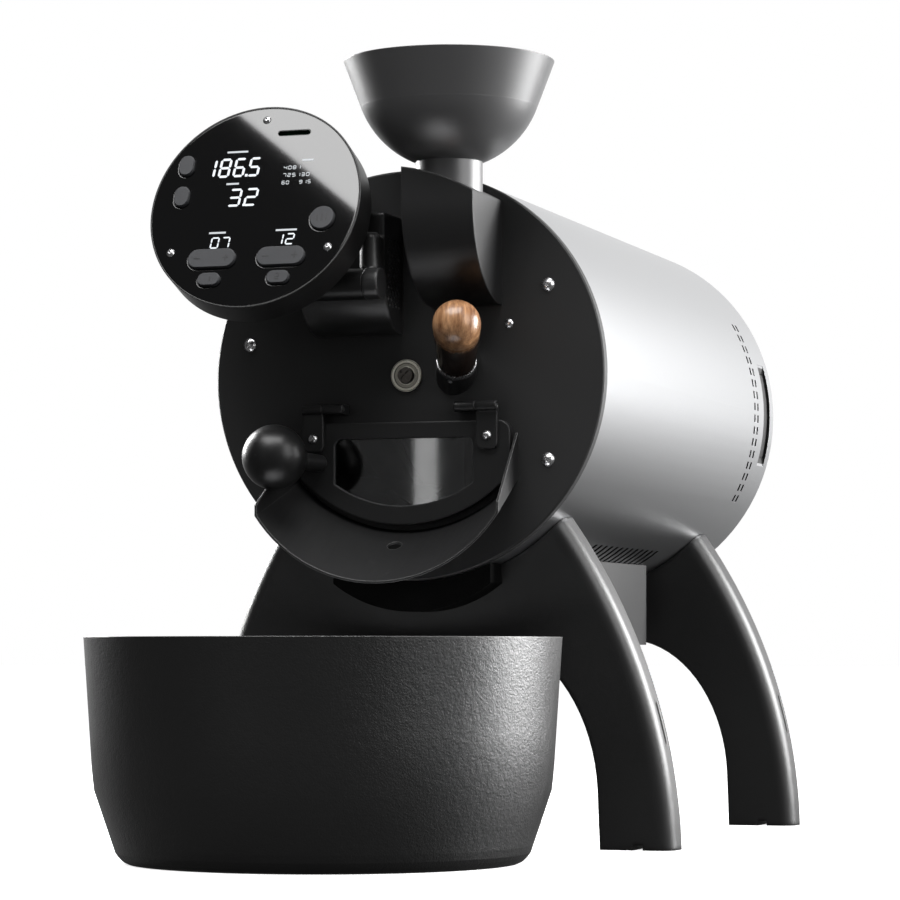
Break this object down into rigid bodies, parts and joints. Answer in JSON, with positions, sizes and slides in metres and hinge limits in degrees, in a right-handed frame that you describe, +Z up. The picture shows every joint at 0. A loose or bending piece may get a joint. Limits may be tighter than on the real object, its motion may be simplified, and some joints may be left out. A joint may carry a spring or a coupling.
{
  "type": "home coffee bean roaster",
  "caption": "Drum coffee roaster with a round tilting panel, bean hopper, sampling scoop, hinged front glass door with chute, arched legs and a separate cooling bowl.",
  "frame": {"origin": "on the table, in the middle of the outline seen from above", "axes": "+Z up, the front plate and its door face -Y, +X to the right as seen from the front"},
  "size_m": [0.342, 0.7774, 0.5305],
  "materials": {
    "black_coat": "satin black powder coat",
    "charcoal_coat": "dark charcoal satin coat",
    "grey_coat": "mid-grey satin coat",
    "bowl_coat": "black orange-peel powder coat",
    "silver_shell": "fine bead-blasted silver",
    "steel": "plain steel",
    "bright_steel": "polished steel",
    "drum_steel": "heat-toned steel",
    "door_pane": "clear heat-proof glass",
    "panel_pane": "glossy black glass-like face",
    "key_rubber": "soft bluish grey",
    "black_plastic": "matt black",
    "knob_plastic": "satin black",
    "board": "green circuit board",
    "walnut": "oiled walnut",
    "insulation": "ceramic fibre blanket",
    "copper": "enamelled copper wire",
    "belt_rubber": "black toothless belt",
    "bearing_cream": "pale sealed bearing"
  },
  "bodies": {
    "machine": {"front_plate": "black_coat", "plate_screws": "bright_steel", "front_bearing": "bearing_cream", "bean_inlet": "black_coat", "tryer_collar": "black_coat", "hinge_brackets": "black_coat", "hinge_pins": "steel", "discharge_chute": "black_coat", "panel_bracket": "black_coat", "barrel_shell": "silver_shell", "rear_cover": "black_coat", "power_inlet": "black_plastic", "front_leg": "charcoal_coat", "rear_leg": "charcoal_coat", "power_box": "grey_coat", "coil_cover": "black_coat", "insulation_sleeve": "insulation", "induction_coil": "copper", "rear_bulkhead": "steel", "rear_bearing": "bearing_cream", "drum_motor": "steel", "drive_belt": "belt_rubber", "fan_shroud": "black_plastic", "fan_motor": "steel", "chaff_filter": "steel"},
    "drum": {"drum_shell": "drum_steel", "drum_vanes": "drum_steel", "drum_spiders": "drum_steel", "drum_shaft": "steel", "centre_screw": "steel", "drum_pulley": "black_plastic"},
    "motor_drive": {"motor_pulley": "steel"},
    "exhaust": {"exhaust_fan": "black_plastic"},
    "switch": {"power_switch": "black_plastic"},
    "door": {"door_panel": "black_coat", "door_glass": "door_pane", "door_leaves": "black_coat", "door_screws": "bright_steel", "knob_stem": "black_coat", "door_knob": "knob_plastic"},
    "ring": {"tryer_ring": "bright_steel"},
    "tryer": {"tryer_scoop": "steel", "tryer_handle": "walnut"},
    "hopper": {"hopper": "charcoal_coat"},
    "panel": {"tilt_tube": "charcoal_coat", "panel_housing": "black_coat", "panel_glass": "panel_pane", "panel_screws": "bright_steel", "panel_board": "board"},
    "upper_button": {"upper_key": "key_rubber"},
    "lower_button": {"lower_key": "key_rubber"},
    "heat_button": {"heat_key": "key_rubber"},
    "fan_button": {"fan_key": "key_rubber"},
    "left_button": {"left_key": "key_rubber"},
    "right_button": {"right_key": "key_rubber"},
    "round_button": {"round_key": "key_rubber"},
    "cooler": {"cooler_bowl": "bowl_coat", "cooler_tray": "steel", "cooler_motor": "steel"},
    "cooler_blower": {"cooler_fan": "black_plastic"}
  },
  "joints": [
    {"name": "drum_spin", "type": "hinge", "parent": "machine", "child": "drum", "pos_m": [0, -0.10325, 0.325], "axis": [0, 1, 0], "continuous": true},
    {"name": "motor_spin", "type": "hinge", "parent": "machine", "child": "motor_drive", "pos_m": [0.074, 0.17275, 0.325], "axis": [0, 1, 0], "continuous": true},
    {"name": "exhaust_spin", "type": "hinge", "parent": "machine", "child": "exhaust", "pos_m": [0, 0.35075, 0.325], "axis": [0, 1, 0], "continuous": true},
    {"name": "switch_rock", "type": "hinge", "parent": "machine", "child": "switch", "pos_m": [0.022, 0.38075, 0.23], "axis": [1, 0, 0], "range_deg": [-8, 8]},
    {"name": "door_hinge", "type": "hinge", "parent": "machine", "child": "door", "pos_m": [0, -0.11425, 0.3025], "axis": [-1, 0, 0], "range_deg": [0, 75]},
    {"name": "tryer_slide", "type": "slide", "parent": "machine", "child": "ring", "axis": [0.2876, -0.8595, 0.4226], "range_m": [0, 0.075]},
    {"name": "tryer_turn", "type": "hinge", "parent": "ring", "child": "tryer", "pos_m": [0.0356, -0.10325, 0.3263], "axis": [0.2876, -0.8595, 0.4226], "range_deg": [-180, 180]},
    {"name": "hopper_lift", "type": "slide", "parent": "machine", "child": "hopper", "axis": [0, 0, 1], "range_m": [0, 0.06]},
    {"name": "panel_tilt", "type": "hinge", "parent": "machine", "child": "panel", "pos_m": [0, -0.15425, 0.383], "axis": [1, 0, 0], "range_deg": [-2, 8]},
    {"name": "upper_press", "type": "slide", "parent": "panel", "child": "upper_button", "axis": [0, 0.9367, -0.3502], "range_m": [0, 0.0012], "stiffness_N_per_m": 800},
    {"name": "lower_press", "type": "slide", "parent": "panel", "child": "lower_button", "axis": [0, 0.9367, -0.3502], "range_m": [0, 0.0012], "stiffness_N_per_m": 800},
    {"name": "heat_press", "type": "slide", "parent": "panel", "child": "heat_button", "axis": [0, 0.9367, -0.3502], "range_m": [0, 0.0012], "stiffness_N_per_m": 800},
    {"name": "fan_press", "type": "slide", "parent": "panel", "child": "fan_button", "axis": [0, 0.9367, -0.3502], "range_m": [0, 0.0012], "stiffness_N_per_m": 800},
    {"name": "left_press", "type": "slide", "parent": "panel", "child": "left_button", "axis": [0, 0.9367, -0.3502], "range_m": [0, 0.0012], "stiffness_N_per_m": 800},
    {"name": "right_press", "type": "slide", "parent": "panel", "child": "right_button", "axis": [0, 0.9367, -0.3502], "range_m": [0, 0.0012], "stiffness_N_per_m": 800},
    {"name": "round_press", "type": "slide", "parent": "panel", "child": "round_button", "axis": [0, 0.9367, -0.3502], "range_m": [0, 0.0012], "stiffness_N_per_m": 800},
    {"name": "cooler_slide", "type": "slide", "parent": "machine", "child": "cooler", "axis": [0, -1, 0], "range_m": [0, 0.15]},
    {"name": "cooler_spin", "type": "hinge", "parent": "cooler", "child": "cooler_blower", "pos_m": [-0.012, -0.23375, 0.04], "axis": [0, 0, 1], "continuous": true}
  ],
  "couplings": [
    {"joint": "motor_spin", "follows": "drum_spin", "ratio": 3}
  ]
}
